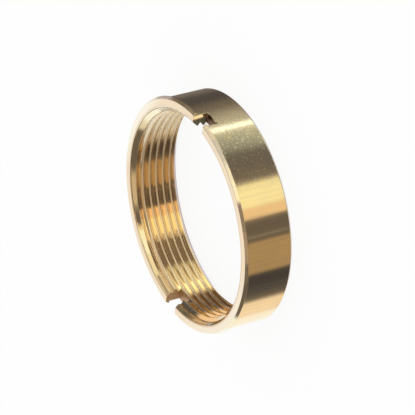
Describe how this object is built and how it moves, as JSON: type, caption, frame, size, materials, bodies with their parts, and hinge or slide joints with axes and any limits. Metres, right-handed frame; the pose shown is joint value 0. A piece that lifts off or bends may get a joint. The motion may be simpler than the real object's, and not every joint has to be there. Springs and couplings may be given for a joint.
{
  "type": "slotted ring nut",
  "caption": "Thin brass ring nut with a fine internal thread, a low collar and spanner slots in its front face, for clamping a pipe or hose fitting.",
  "frame": {"origin": "on the thread's axis at the plain back face, which the ring lies on", "axes": "+Z along the thread's axis towards the slotted face; +X through the middle of a spanner slot"},
  "size_m": [0.0468, 0.0468, 0.0104],
  "materials": {
    "brass": "turned and polished, with a little tarnish"
  },
  "bodies": {
    "root": {"ring_nut": "brass"}
  },
  "joints": []
}
